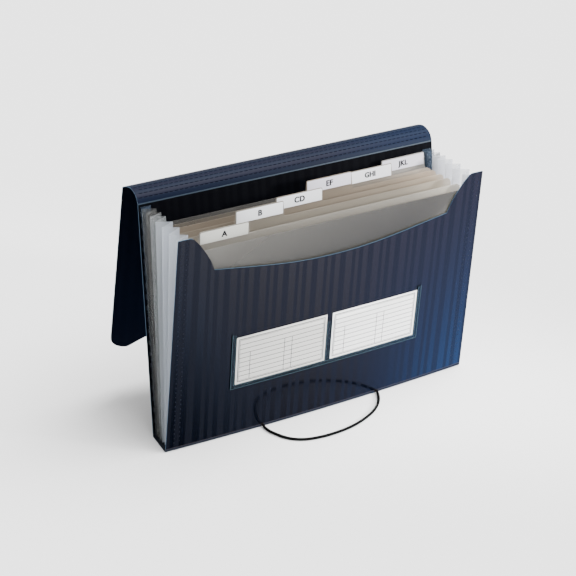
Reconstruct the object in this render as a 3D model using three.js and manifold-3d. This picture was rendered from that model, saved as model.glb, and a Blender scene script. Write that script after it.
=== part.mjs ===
// Expanding file folder of polypropylene sheet: a folded cover (front panel, base
// strip, back panel, arched top strip and flap), concertina side gussets, a liner
// and lettered dividers, a clear label pocket and an elastic closing loop.
// Millimetres, +Z up, front towards -Y, origin at the middle of the base's underside.
import * as THREE from "three";
import { mergeVertices } from "three/addons/utils/BufferGeometryUtils.js";
import Module from "manifold-3d";

// ---- driving dimensions -------------------------------------------------
const HALF_W = 165.3; // half the width of the body at its back
const HALF_FRONT = 168.5; // half the width of the front panel at its foot
const HALF_FRONT_TOP = 164; // and at its top
const HALF_TOP = 161.6; // half the width at the top crease, strip and flap
const BASE_DEPTH = 31; // front to back at the base
const SHEET = 0.7; // cover sheet
const FRONT_LEAN = -5.8; // degrees, negative leans to the front
const BACK_LEAN = 6.8;
const FRONT_H = 222; // along the panel
const BACK_H = 227; // along the panel, to the top crease
const BOW = 5; // how far the front bottom edge bows out at its middle
const LIP_H = 3.0; // height of the base strip's turned-up edges
const PANEL_Z = 3.7; // where the panels begin above the base strip's edges
const CREASE_GAP = 0.6; // from a crease's line to the sheet on each side
const FLAP_TILT = 11.7; // degrees, the hanging flap swings out to the back
const DIVIDER_T = 0.4;
const DIVIDER_H = 208.5; // along the sheet, to its main top edge
const DIVIDER_HALF = 147.4;
const LINER_H = 206;
const TAB_H = 11.5; // tab above the divider's top edge
const LABEL_T = 0.25;
const GUSSET_T = 0.4;
const GUSSET_IN = 148; // inner folds
const GUSSET_OUT = 164; // outer folds
const GUSSET_H_FRONT = 219.5;
const GUSSET_H_BACK = 224.3;
const CORD_D = 2.6;
const CORD_HOLE_LEFT = -66.5;
const CORD_HOLE_RIGHT = 63.5;

const rad = (d) => (d * Math.PI) / 180;
const P = (x, y, z) => new THREE.Vector3(x, y, z);

// the leaning planes: y at the base, and lean in degrees (positive leans back)
const PITCH = BASE_DEPTH / 7;
const DIVIDERS = [
  { key: "a", lean: -4.18, tab: -137.3, rise: 0 },
  { key: "b", lean: -1.2, tab: -91.8, rise: 3.8 },
  { key: "cd", lean: 0.8, tab: -42.4, rise: 2.3 },
  { key: "ef", lean: 3.0, tab: -1.6, rise: 5.8 },
  { key: "ghi", lean: 4.1, tab: 50.2, rise: 1.3 },
  { key: "jkl", lean: 5.3, tab: 94.8, rise: 1.6 },
].map((d, i) => ({ ...d, y0: -BASE_DEPTH / 2 + PITCH * (i + 1) }));
const TAB_W = 50;

// ---- helpers ------------------------------------------------------------
const interp = (list, x) => {
  for (let i = 1; i < list.length; i++)
    if (x <= list[i][0]) {
      const [x0, y0] = list[i - 1],
        [x1, y1] = list[i];
      return y0 + ((y1 - y0) * (x - x0)) / (x1 - x0);
    }
  return list[list.length - 1][1];
};

// A closed solid between two grids of points, a[i][j] on one side and b[i][j] on the other.
function slab(a, b) {
  const n = a.length,
    m = a[0].length;
  const pos = [];
  const tri = (p, q, r) => pos.push(p, q, r);
  const quad = (p, q, r, s) => {
    tri(p, q, r);
    tri(p, r, s);
  };
  for (let i = 0; i < n - 1; i++)
    for (let j = 0; j < m - 1; j++) {
      quad(a[i][j], a[i + 1][j], a[i + 1][j + 1], a[i][j + 1]);
      quad(b[i][j], b[i][j + 1], b[i + 1][j + 1], b[i + 1][j]);
    }
  for (let i = 0; i < n - 1; i++) {
    quad(a[i][0], b[i][0], b[i + 1][0], a[i + 1][0]);
    quad(a[i][m - 1], a[i + 1][m - 1], b[i + 1][m - 1], b[i][m - 1]);
  }
  for (let j = 0; j < m - 1; j++) {
    quad(a[0][j], a[0][j + 1], b[0][j + 1], b[0][j]);
    quad(a[n - 1][j], b[n - 1][j], b[n - 1][j + 1], a[n - 1][j + 1]);
  }
  let vol = 0;
  for (let i = 0; i < pos.length; i += 3)
    vol += pos[i].dot(P(0, 0, 0).crossVectors(pos[i + 1], pos[i + 2]));
  const array = new Float32Array(pos.length * 3);
  for (let i = 0; i < pos.length; i += 3) {
    const order = vol < 0 ? [0, 2, 1] : [0, 1, 2];
    order.forEach((k, c) => pos[i + k].toArray(array, (i + c) * 3));
  }
  const g = new THREE.BufferGeometry();
  g.setAttribute("position", new THREE.BufferAttribute(array, 3));
  return mergeVertices(g, 1e-3);
}

// A sheet whose outline runs from lo(u) to hi(u) at each station u. at(u, v, off)
// gives the point on it, off being the distance from its reference surface.
function sheet(stations, lo, hi, at, off0, off1, rows = 1) {
  const side = (off) =>
    stations.map((u) => {
      const col = [];
      for (let r = 0; r <= rows; r++) {
        const v = lo(u) + ((hi(u) - lo(u)) * r) / rows;
        col.push(at(u, v, off));
      }
      return col;
    });
  return slab(side(off0), side(off1));
}

const group = new THREE.Group();
function add(name, geometry, color, opts = {}) {
  const material = new THREE.MeshStandardMaterial({
    color,
    roughness: opts.roughness ?? 0.5,
    metalness: opts.metalness ?? 0,
    transparent: opts.opacity !== undefined,
    opacity: opts.opacity ?? 1,
    side: THREE.FrontSide,
  });
  geometry.computeVertexNormals();
  const mesh = new THREE.Mesh(geometry, material);
  mesh.name = name;
  (opts.parent ?? group).add(mesh);
  return mesh;
}

const mirrored = (list) => [
  ...list
    .slice()
    .reverse()
    .map((x) => -x),
  ...list.filter((x) => x > 0),
];

// ---- surfaces -----------------------------------------------------------
const bow = (u, v) =>
  BOW * (1 - (u / HALF_FRONT) ** 2) * Math.max(0, 1 - v / FRONT_H);
// outer face of the front panel; off is measured outwards
const frontAt = (u, v, off) => {
  const l = rad(FRONT_LEAN);
  return P(
    u,
    -BASE_DEPTH / 2 + v * Math.sin(l) - bow(u, v) - off * Math.cos(l),
    v * Math.cos(l) + off * Math.sin(l),
  );
};
// outer face of the back panel; off is measured outwards
const backAt = (u, v, off) => {
  const l = rad(BACK_LEAN);
  return P(
    u,
    BASE_DEPTH / 2 + v * Math.sin(l) + off * Math.cos(l),
    v * Math.cos(l) - off * Math.sin(l),
  );
};
// a flat leaning sheet through y0 at the base; off is measured to the front
const planeAt = (y0, lean) => (u, v, off) => {
  const l = rad(lean);
  return P(
    u,
    y0 + v * Math.sin(l) - off * Math.cos(l),
    v * Math.cos(l) + off * Math.sin(l),
  );
};

// ---- front panel: scooped top edge between two shoulders ----------------
const SCOOP = [
  [0, 171.0],
  [10, 171.1],
  [20, 171.4],
  [30, 171.9],
  [40, 172.7],
  [50, 173.7],
  [60, 174.9],
  [70, 176.3],
  [80, 177.7],
  [90, 179.3],
  [100, 180.9],
  [110, 182.4],
  [120, 184.0],
  [126.8, 185.2],
  [127.7, 188.0],
  [130.0, 193.8],
  [133.3, 200.2],
  [137.3, 206.6],
  [141.8, 213.0],
  [146.4, 218.4],
  [149.0, 220.9],
  [151.8, 222],
  [158, 222],
  [HALF_FRONT_TOP, 222],
];
const frontStations = mirrored(SCOOP.map((p) => p[0]));
const panelV = PANEL_Z / Math.cos(rad(FRONT_LEAN));
// the panel is a little wider at its foot than at its shoulders
const spread = (u, v) => {
  const edge = Math.max(0, (Math.abs(u) - 126.8) / (HALF_FRONT_TOP - 126.8));
  return u + Math.sign(u) * edge * (HALF_FRONT - HALF_FRONT_TOP) * (1 - v / FRONT_H);
};
add(
  "front_panel",
  sheet(
    frontStations,
    () => panelV,
    (u) => interp(SCOOP, Math.abs(u)),
    (u, v, off) => frontAt(spread(u, v), v, off),
    0,
    -SHEET,
  ),
  0x28324a,
  { roughness: 0.35 },
);

// ---- back panel, a little narrower at its top crease --------------------
{
  const v0 = PANEL_Z / Math.cos(rad(BACK_LEAN)),
    v1 = BACK_H - CREASE_GAP;
  const half = (v) => HALF_W - ((HALF_W - HALF_TOP) * v) / BACK_H;
  const at = (s, v, off) => backAt(s * half(v), v, off);
  add(
    "back_panel",
    sheet(
      [-1, -0.5, 0, 0.5, 1],
      () => v0,
      () => v1,
      at,
      0,
      -SHEET,
      2,
    ),
    0x1a2030,
    { roughness: 0.4 },
  );
}

// ---- base strip: flat, with rounded turned-up edges on the two creases ---
const wasm = await Module();
wasm.setup();
const toSolid = (geometry) => {
  const plain = new THREE.BufferGeometry().setAttribute(
    "position",
    (geometry.index ? geometry.toNonIndexed() : geometry).getAttribute(
      "position",
    ),
  );
  const merged = mergeVertices(plain, 1e-4);
  return new wasm.Manifold(
    new wasm.Mesh({
      numProp: 3,
      vertProperties: merged.attributes.position.array,
      triVerts: new Uint32Array(merged.index.array),
    }),
  );
};
const toGeometry = (solid) => {
  const mesh = solid.getMesh();
  const g = new THREE.BufferGeometry();
  g.setAttribute("position", new THREE.BufferAttribute(mesh.vertProperties, 3));
  g.setIndex(new THREE.BufferAttribute(mesh.triVerts, 1));
  return g;
};

// the elastic loop: out of a hole in the front crease, round on the floor, back in
const LOOP = [
  [-66.5, -18.9, 2.35],
  [-66.7, -20.4, 2.0],
  [-67.0, -22.6, 1.6],
  [-67.2, -26.5, CORD_D / 2],
  [-66.6, -32.5, CORD_D / 2],
  [-64.7, -38.9, CORD_D / 2],
  [-61.2, -47.3, CORD_D / 2],
  [-56.0, -54.8, CORD_D / 2],
  [-46.1, -61.7, CORD_D / 2],
  [-30.3, -65.7, CORD_D / 2],
  [-10.3, -66.2, CORD_D / 2],
  [12.1, -62.4, CORD_D / 2],
  [34.8, -53.0, CORD_D / 2],
  [46.2, -45.3, CORD_D / 2],
  [54.2, -37.2, CORD_D / 2],
  [59.2, -30.0, CORD_D / 2],
  [61.8, -25.2, CORD_D / 2],
  [63.0, -22.2, 1.6],
  [63.4, -20.4, 2.0],
  [63.5, -18.9, 2.35],
];
const loopPoints = LOOP.map((p) => P(...p));
const loopCurve = new THREE.CatmullRomCurve3(loopPoints, false, "centripetal");
const round = (r, n) => {
  const s = new THREE.Shape();
  for (let i = 0; i < n; i++) {
    const a = ((i + 0.5) * 2 * Math.PI) / n;
    i
      ? s.lineTo(r * Math.cos(a), r * Math.sin(a))
      : s.moveTo(r * Math.cos(a), r * Math.sin(a));
  }
  s.closePath();
  return s;
};
const tube = (curve, r, sides, steps) =>
  new THREE.ExtrudeGeometry(round(r, sides), {
    steps,
    extrudePath: curve,
    bevelEnabled: false,
  });

{
  const y0 = BASE_DEPTH / 2,
    r = 1.3;
  const path = (u, off) => {
    // off 0 is the underside, off SHEET the inside
    const uf = (u * HALF_FRONT) / HALF_W,
      yf = -y0 - bow(uf, 0),
      rr = r - off,
      pts = [];
    pts.push(P(uf, yf + off, LIP_H));
    for (let k = 0; k <= 5; k++) {
      const a = Math.PI + (k * Math.PI) / 10;
      pts.push(P(uf, yf + r + rr * Math.cos(a), r + rr * Math.sin(a)));
    }
    pts.push(P((u + uf) / 2, 0, off));
    for (let k = 0; k <= 5; k++) {
      const a = 1.5 * Math.PI + (k * Math.PI) / 10;
      pts.push(P(u, y0 - r + rr * Math.cos(a), r + rr * Math.sin(a)));
    }
    pts.push(P(u, y0 - off, LIP_H));
    return pts;
  };
  const us = [];
  for (let k = -15; k <= 15; k++) us.push((k * HALF_W) / 15);
  let solid = toSolid(
    slab(
      us.map((u) => path(u, 0)),
      us.map((u) => path(u, SHEET)),
    ),
  );
  for (const ends of [LOOP.slice(0, 3), LOOP.slice(-3).reverse()]) {
    const [a, b, c] = ends;
    const hole = new THREE.CatmullRomCurve3([
      P(a[0], -17.2, 2.9),
      P(...a),
      P(b[0], b[1], b[2] + 0.05),
      P(c[0], c[1], c[2] + 0.4),
    ]);
    solid = solid.subtract(toSolid(tube(hole, CORD_D / 2 + 0.45, 16, 6)));
  }
  add("base_strip", toGeometry(solid), 0x20283c, { roughness: 0.4 });
}

add("elastic_cord", tube(loopCurve, CORD_D / 2, 8, 40), 0x0b0b0d, {
  roughness: 0.9,
});
for (const [x, side] of [
  [CORD_HOLE_LEFT, "left"],
  [CORD_HOLE_RIGHT, "right"],
]) {
  const bar = new THREE.CapsuleGeometry(1.2, 9.6, 4, 12);
  bar.rotateZ(Math.PI / 2);
  bar.translate(x, -17.3, 2.75);
  add("cord_barb_" + side, mergeVertices(stripped(bar), 1e-4), 0xb8bcc2, {
    roughness: 0.3,
    metalness: 0.9,
  });
}
function stripped(g) {
  g.deleteAttribute("normal");
  g.deleteAttribute("uv");
  return g;
}

// ---- top strip: an arch from the top crease to the flap's crease --------
const CREASE1 = backAt(0, BACK_H, -SHEET / 2);
const ARCH = [
  [0, 0],
  [1.0, 2.6],
  [2.8, 5.8],
  [5.8, 8.4],
  [9.8, 10.1],
  [14.2, 10.9],
  [18.6, 10.4],
  [23.0, 9.1],
  [26.8, 7.5],
  [30.0, 6.1],
];
const CREASE2 = P(
  0,
  CREASE1.y + ARCH[ARCH.length - 1][0],
  CREASE1.z + ARCH[ARCH.length - 1][1],
);
{
  const pts = ARCH.map(([y, z]) => new THREE.Vector2(y, z));
  const trim = (a, b) => {
    const d = b.clone().sub(a).normalize();
    return a.clone().add(d.multiplyScalar(CREASE_GAP));
  };
  const path = pts.slice();
  path[0] = trim(pts[0], pts[1]);
  path[path.length - 1] = trim(pts[pts.length - 1], pts[pts.length - 2]);
  const normal = (i) => {
    const a = path[Math.max(0, i - 1)],
      b = path[Math.min(path.length - 1, i + 1)];
    const d = b.clone().sub(a).normalize();
    return new THREE.Vector2(-d.y, d.x);
  };
  const side = (s) =>
    [-HALF_TOP, 0, HALF_TOP].map((x) =>
      path.map((p, i) => {
        const q = p.clone().add(normal(i).multiplyScalar((s * SHEET) / 2));
        return P(x, CREASE1.y + q.x, CREASE1.z + q.y);
      }),
    );
  add("top_strip", slab(side(1), side(-1)), 0x4a5468, { roughness: 0.4 });
}

// ---- flap: hangs behind, rounded corners and a long hollow free edge -----
const FLAP_END = [
  [0, 163.4],
  [20, 163.9],
  [40, 165.4],
  [60, 167.8],
  [80, 171.3],
  [100, 175.7],
  [115, 179.7],
  [125, 182.6],
  [135, 185.9],
  [140, 187.7],
  [143.5, 188.4],
  [147.5, 187.6],
  [151, 186.2],
  [154.5, 184.2],
  [157.5, 181.8],
  [159.6, 179.2],
  [161, 176.2],
  [HALF_TOP, 172.6],
];
{
  const l = rad(FLAP_TILT);
  const at = (x, s, off) =>
    P(
      x,
      CREASE2.y + s * Math.sin(l) + off * Math.cos(l),
      CREASE2.z - s * Math.cos(l) + off * Math.sin(l),
    );
  add(
    "flap",
    sheet(
      mirrored(FLAP_END.map((p) => p[0])),
      () => CREASE_GAP,
      (x) => interp(FLAP_END, Math.abs(x)),
      at,
      SHEET / 2,
      -SHEET / 2,
    ),
    0x161b28,
    { roughness: 0.4 },
  );
}

// ---- liner behind the front panel ---------------------------------------
const LINER_Y = -BASE_DEPTH / 2 + SHEET + 0.75;
add(
  "front_liner",
  sheet(
    [-147.4, -146, -142, 142, 146, 147.4],
    () => 1.6,
    (u) => LINER_H - (Math.abs(u) > 147 ? 5.4 : Math.abs(u) > 145 ? 2 : 0),
    planeAt(LINER_Y, FRONT_LEAN),
    0,
    -DIVIDER_T,
  ),
  0xcfd2cc,
  { roughness: 0.3, opacity: 0.7 },
);

// ---- dividers with one tab each, and the paper labels in the tabs --------
for (const d of DIVIDERS) {
  const t0 = d.tab,
    t1 = d.tab + TAB_W,
    top = DIVIDER_H,
    tt = DIVIDER_H + TAB_H + d.rise;
  const outline = [
    [-DIVIDER_HALF, top - 5.4],
    [-146, top - 2],
    [-142.6, top],
    ...(t0 - 1.2 > -142.5 ? [[t0 - 1.2, top]] : []),
    [t0, tt - 1.2],
    [t0 + 0.4, tt - 0.35],
    [t0 + 1.2, tt],
    [t1 - 1.2, tt],
    [t1 - 0.4, tt - 0.35],
    [t1, tt - 1.2],
    ...(t1 + 1.2 < 142.5 ? [[t1 + 1.2, top]] : []),
    [142.6, top],
    [146, top - 2],
    [DIVIDER_HALF, top - 5.4],
  ].sort((p, q) => p[0] - q[0]);
  // where the last tab reaches the sheet's rounded corner its foot follows the edge
  if (t1 + 1.2 >= 142.5) {
    const keep = outline.filter((p) => p[0] !== 142.6);
    outline.length = 0;
    outline.push(...keep.filter((p) => p[0] <= t1), [t1 + 0.9, top - 1.2]);
    outline.push(...keep.filter((p) => p[0] > t1 + 0.9));
  }
  const at = planeAt(d.y0, d.lean);
  add(
    "divider_" + d.key,
    sheet(
      outline.map((p) => p[0]),
      () => 1.4,
      (u) => interp(outline, u),
      at,
      DIVIDER_T / 2,
      -DIVIDER_T / 2,
    ),
    0xd2d2ca,
    { roughness: 0.3, opacity: 0.7 },
  );
  const inset = 0.7;
  const lab = [
    [t0 + inset, tt - 1.4],
    [t0 + 1.4, tt - inset],
    [t1 - 1.4, tt - inset],
    [t1 - inset, tt - 1.4],
  ];
  add(
    "tab_label_" + d.key,
    sheet(
      lab.map((p) => p[0]),
      () => top - 0.6 + d.rise,
      (u) => interp(lab, u),
      at,
      DIVIDER_T / 2 + 0.3,
      DIVIDER_T / 2 + 0.3 + LABEL_T,
    ),
    0xf2f2f0,
    { roughness: 0.7 },
  );
}

// ---- concertina gussets --------------------------------------------------
// fold lines from back to front: inner folds on the dividers, outer folds between
for (const [s, side] of [
  [-1, "left"],
  [1, "right"],
]) {
  const yb = BASE_DEPTH / 2 - SHEET - 0.3 - GUSSET_T / 2 - 0.05,
    yf = -BASE_DEPTH / 2 + SHEET + 0.3 + GUSSET_T / 2 + 0.05;
  const planes = [
    { y0: yb, lean: BACK_LEAN },
    ...DIVIDERS.slice().reverse(),
    { y0: yf, lean: FRONT_LEAN },
  ];
  const Z0 = 1.4;
  // line k: its point at height share h (0 bottom, 1 top)
  const lineY = (k, h) => {
    const plane = planes[k],
      L = GUSSET_H_BACK + ((GUSSET_H_FRONT - GUSSET_H_BACK) * k) / 7,
      v = Z0 + (L - Z0) * h;
    return { y: plane.y0 + v * Math.sin(rad(plane.lean)), z: v * Math.cos(rad(plane.lean)) };
  };
  const outX = (k, h) => GUSSET_OUT - (k < 7 ? (1 - k / 7) * 3.0 * h : 0);
  const profile = (h) => {
    // corners as {x, y, z, inner}
    const c = [];
    const b = lineY(0, h);
    c.push({ x: outX(0, h) - 1.6, ...b, end: true });
    c.push({ x: GUSSET_IN + 1, ...b, inner: true });
    for (let k = 0; k < 7; k++) {
      const p = lineY(k, h),
        q = lineY(k + 1, h);
      c.push({ x: outX(k + 0.5, h), y: (p.y + q.y) / 2, z: (p.z + q.z) / 2 });
      c.push({ x: k === 6 ? GUSSET_IN + 1 : GUSSET_IN, ...q, inner: true });
    }
    c.push({ x: GUSSET_OUT - 1.6, ...lineY(7, h), end: true });
    return c;
  };
  const sides = (h) => {
    const c = profile(h),
      t = GUSSET_T / 2,
      A = [],
      B = [];
    c.forEach((p, i) => {
      if (p.end) {
        const sign = i === 0 ? 1 : -1;
        A.push(P(p.x, p.y + sign * t, p.z));
        B.push(P(p.x, p.y - sign * t, p.z));
        return;
      }
      const prev = c[i - 1],
        next = c[i + 1];
      const m1 = Math.abs((prev.y - p.y) / (prev.x - p.x)),
        m2 = Math.abs((next.y - p.y) / (next.x - p.x));
      const delta = (2 * t) / (m1 + m2);
      const y = p.y + m1 * delta - t;
      if (p.inner) {
        // the tip of an inner fold points inwards
        A.push(P(p.x - 0.2, p.y, p.z));
        B.push(P(p.x + delta, y, p.z));
      } else {
        A.push(P(p.x - delta, y, p.z));
        B.push(P(p.x + 0.2, p.y, p.z));
      }
    });
    return [A, B];
  };
  const [A0, B0] = sides(0),
    [A1, B1] = sides(1);
  const flip = (p) => P(s * p.x, p.y, p.z);
  add(
    "gusset_" + side,
    slab(
      A0.map((p, i) => [flip(p), flip(A1[i])]),
      B0.map((p, i) => [flip(p), flip(B1[i])]),
    ),
    0xc4ccd2,
    { roughness: 0.35, opacity: 0.7 },
  );
}

// ---- label pocket of clear film, and the two ruled label cards in it ------
const POCKET = { half: 105, lo: 52.8, top: (u) => 100 + 11.8 * (u / 105) ** 2 };
const CARDS = [
  ["left", -100, -2.8],
  ["right", 3.4, 100.6],
];
const CARD_LO = 56.8,
  CARD_HI = 107.2;
{
  const rim = 2.2,
    inOff = 0.9,
    outOff = 1.15,
    seat = 0.3;
  const e = 0.15;
  const breaks = [
    -105,
    -105 + rim,
    -105 + rim + e,
    -1.2 - e,
    -1.2,
    1.8,
    1.8 + e,
    105 - rim - e,
    105 - rim,
    105,
  ];
  const us = [];
  for (let i = 0; i < breaks.length; i++) {
    us.push(breaks[i]);
    if (i < breaks.length - 1) {
      const gap = breaks[i + 1] - breaks[i],
        n = Math.floor(gap / 11);
      for (let k = 1; k < n; k++) us.push(breaks[i] + (gap * k) / n);
    }
  }
  const isRimU = (u) =>
    u <= -105 + rim + 1e-6 ||
    u >= 105 - rim - 1e-6 ||
    (u >= -1.2 - 1e-6 && u <= 1.8 + 1e-6);
  const inner = us.map((u) => {
    const top = POCKET.top(u);
    return [
      [POCKET.lo, true],
      [POCKET.lo + rim, true],
      [POCKET.lo + rim + e, false],
      [top, false],
    ].map(([v, rimV]) => frontAt(u, v, rimV || isRimU(u) ? seat : inOff));
  });
  const outer = us.map((u) => {
    const top = POCKET.top(u);
    return [POCKET.lo, POCKET.lo + rim, POCKET.lo + rim + e, top].map((v) =>
      frontAt(u, v, outOff),
    );
  });
  add("label_pocket", slab(outer, inner), 0x5f8a88, {
    roughness: 0.15,
    opacity: 0.35,
  });
}
for (const [name, u0, u1] of CARDS) {
  const us = [];
  for (let k = 0; k <= 8; k++) us.push(u0 + ((u1 - u0) * k) / 8);
  add(
    "label_card_" + name,
    sheet(
      us,
      () => CARD_LO,
      () => CARD_HI,
      frontAt,
      0.35,
      0.6,
    ),
    0xf4f4f1,
    { roughness: 0.6 },
  );
}

export default group;
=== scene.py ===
import bpy
import math
from mathutils import Matrix, Vector


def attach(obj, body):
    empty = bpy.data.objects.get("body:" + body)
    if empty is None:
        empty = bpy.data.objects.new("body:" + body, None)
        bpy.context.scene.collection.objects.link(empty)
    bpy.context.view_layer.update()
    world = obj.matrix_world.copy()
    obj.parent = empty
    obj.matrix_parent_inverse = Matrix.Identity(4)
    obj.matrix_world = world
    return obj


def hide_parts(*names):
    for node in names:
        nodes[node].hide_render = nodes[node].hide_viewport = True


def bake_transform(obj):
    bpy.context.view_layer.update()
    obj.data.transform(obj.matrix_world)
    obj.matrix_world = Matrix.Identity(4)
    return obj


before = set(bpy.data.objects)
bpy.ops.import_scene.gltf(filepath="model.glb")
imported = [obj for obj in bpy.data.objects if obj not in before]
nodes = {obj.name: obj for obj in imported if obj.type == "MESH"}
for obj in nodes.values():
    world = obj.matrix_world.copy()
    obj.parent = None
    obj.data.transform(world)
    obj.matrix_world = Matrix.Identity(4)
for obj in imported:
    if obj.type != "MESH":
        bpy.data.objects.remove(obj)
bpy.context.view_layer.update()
scene = bpy.context.scene
rad = math.radians

# ---- the part's own measures, millimetres -------------------------------
HALF_W, HALF_TOP, BASE_DEPTH, SHEET = 165.3, 161.6, 31.0, 0.7
HALF_FRONT, HALF_FRONT_TOP = 168.5, 164.0
FRONT_LEAN, BACK_LEAN, FLAP_TILT = -5.8, 6.8, 11.7
FRONT_H, BACK_H, BOW, LIP_H, PANEL_Z, CREASE_GAP = 222.0, 227.0, 5.0, 3.0, 3.7, 0.6
DIVIDER_T, DIVIDER_H, TAB_H, TAB_W, LABEL_T = 0.4, 208.5, 11.5, 50.0, 0.25
GUSSET_T, GUSSET_IN, GUSSET_OUT, GUSSET_H_FRONT, GUSSET_H_BACK = 0.34, 148.0, 164.0, 219.5, 224.3
DIVIDERS = [("a", -4.18, -137.3), ("b", -1.2, -91.8), ("cd", 0.8, -42.4), ("ef", 3.0, -1.6), ("ghi", 4.1, 50.2), ("jkl", 5.3, 94.8)]
TAB_RISE = {"a": 0, "b": 3.8, "cd": 2.3, "ef": 5.8, "ghi": 1.3, "jkl": 1.6}
DIVIDERS = [(k, lean, tab, -BASE_DEPTH / 2 + BASE_DEPTH / 7 * (i + 1)) for i, (k, lean, tab) in enumerate(DIVIDERS)]


def bow(u, v):
    return BOW * (1 - (u / HALF_FRONT) ** 2) * max(0.0, 1 - v / FRONT_H)


def front_at(u, v, off):
    l = rad(FRONT_LEAN)
    return (u, -BASE_DEPTH / 2 + v * math.sin(l) - bow(u, v) - off * math.cos(l), v * math.cos(l) + off * math.sin(l))


def back_at(u, v, off):
    l = rad(BACK_LEAN)
    return (u, BASE_DEPTH / 2 + v * math.sin(l) + off * math.cos(l), v * math.cos(l) - off * math.sin(l))


def plane_at(y0, lean):
    l = rad(lean)
    return lambda u, v, off: (u, y0 + v * math.sin(l) - off * math.cos(l), v * math.cos(l) + off * math.sin(l))


def spline(points, per=6, closed=False):
    """Points along a centripetal Catmull-Rom curve through the given ones, of any dimension."""
    pts = [Vector(p) for p in points]
    out = []
    n = len(pts)
    for i in range(n - 1):
        p1, p2 = pts[i], pts[i + 1]
        p0 = pts[i - 1] if i else p1 * 2 - p2
        p3 = pts[i + 2] if i + 2 < n else p2 * 2 - p1
        t0 = 0.0
        t1 = t0 + max(1e-6, (p1 - p0).length) ** 0.5
        t2 = t1 + max(1e-6, (p2 - p1).length) ** 0.5
        t3 = t2 + max(1e-6, (p3 - p2).length) ** 0.5
        for k in range(per):
            t = t1 + (t2 - t1) * k / per
            a1 = p0 * ((t1 - t) / (t1 - t0)) + p1 * ((t - t0) / (t1 - t0))
            a2 = p1 * ((t2 - t) / (t2 - t1)) + p2 * ((t - t1) / (t2 - t1))
            a3 = p2 * ((t3 - t) / (t3 - t2)) + p3 * ((t - t2) / (t3 - t2))
            b1 = a1 * ((t2 - t) / (t2 - t0)) + a2 * ((t - t0) / (t2 - t0))
            b2 = a2 * ((t3 - t) / (t3 - t1)) + a3 * ((t - t1) / (t3 - t1))
            out.append(b1 * ((t2 - t) / (t2 - t1)) + b2 * ((t - t1) / (t2 - t1)))
    out.append(pts[-1])
    return out


# ---- meshes ---------------------------------------------------------------
def mesh_object(name, verts, faces, material_of, mats, sheet=None, sharp=35.0):
    """verts in millimetres; sheet gives each vertex its place on the flat sheet, for the materials."""
    me = bpy.data.meshes.new(name)
    me.from_pydata([(x / 1000, y / 1000, z / 1000) for x, y, z in verts], [], faces)
    for m in mats:
        me.materials.append(m)
    me.polygons.foreach_set("material_index", material_of)
    if sheet is not None:
        a = me.attributes.new("sheet", "FLOAT_VECTOR", "POINT")
        a.data.foreach_set("vector", [c for s in sheet for c in (s[0] / 1000, s[1] / 1000, 0.0)])
    me.update()
    me.shade_smooth()
    me.set_sharp_from_angle(angle=rad(sharp))
    ob = bpy.data.objects.new(name, me)
    scene.collection.objects.link(ob)
    return ob


def slab(name, a, b, flat, mats, faces_ab=(0, 0), rim=0, rims=(1, 1, 1, 1), sharp=35.0):
    """A closed sheet between two grids of points. flat[i][j] is the point's place on the flat sheet.
    rims says which of the edges i=0, i=n-1, j=0, j=m-1 are closed."""
    n, m = len(a), len(a[0])
    verts = [p for row in a for p in row] + [p for row in b for p in row]
    sheet = [p for row in flat for p in row] * 2
    A = lambda i, j: i * m + j
    B = lambda i, j: n * m + i * m + j
    faces, of = [], []
    for i in range(n - 1):
        for j in range(m - 1):
            faces.append((A(i, j), A(i + 1, j), A(i + 1, j + 1), A(i, j + 1))); of.append(faces_ab[0])
            faces.append((B(i, j), B(i, j + 1), B(i + 1, j + 1), B(i + 1, j))); of.append(faces_ab[1])
    for i in range(n - 1):
        if rims[2]:
            faces.append((A(i, 0), B(i, 0), B(i + 1, 0), A(i + 1, 0))); of.append(rim)
        if rims[3]:
            faces.append((A(i, m - 1), A(i + 1, m - 1), B(i + 1, m - 1), B(i, m - 1))); of.append(rim)
    for j in range(m - 1):
        if rims[0]:
            faces.append((A(0, j), A(0, j + 1), B(0, j + 1), B(0, j))); of.append(rim)
        if rims[1]:
            faces.append((A(n - 1, j), B(n - 1, j), B(n - 1, j + 1), A(n - 1, j + 1))); of.append(rim)
    vol = 0.0
    for f in faces:
        p = [Vector(verts[k]) for k in f]
        vol += p[0].dot(p[1].cross(p[2])) + p[0].dot(p[2].cross(p[3]))
    if vol < 0:
        faces = [tuple(reversed(f)) for f in faces]
    return mesh_object(name, verts, faces, of, mats, sheet, sharp)


def boxes(name, items, mats):
    """Many small blocks in one mesh. Each is (at, u0, u1, v0, v1, off0, off1) on a surface at(u, v, off)."""
    verts, faces, sheet = [], [], []
    for at, u0, u1, v0, v1, o0, o1 in items:
        nu = max(1, int(abs(u1 - u0) / 12))
        k = len(verts)
        for o in (o0, o1):
            for i in range(nu + 1):
                u = u0 + (u1 - u0) * i / nu
                for v in (v0, v1):
                    verts.append(at(u, v, o)); sheet.append((u, v))
        s = 2 * (nu + 1)
        for i in range(nu):
            p = k + 2 * i
            faces += [(p, p + 1, p + 3, p + 2), (p + s, p + s + 2, p + s + 3, p + s + 1), (p, p + 2, p + s + 2, p + s), (p + 1, p + s + 1, p + s + 3, p + 3)]
        faces += [(k, k + s, k + s + 1, k + 1), (k + 2 * nu, k + 2 * nu + 1, k + s + 2 * nu + 1, k + s + 2 * nu)]
    ob = mesh_object(name, verts, faces, [0] * len(faces), mats, sheet)
    import bmesh
    bm = bmesh.new(); bm.from_mesh(ob.data)
    bmesh.ops.recalc_face_normals(bm, faces=bm.faces)
    bm.to_mesh(ob.data); bm.free()
    return ob


# ---- materials ------------------------------------------------------------
def new_material(name):
    m = bpy.data.materials.new(name)
    m.use_nodes = True
    n = m.node_tree.nodes
    return m, n, m.node_tree.links, n["Principled BSDF"]


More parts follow.
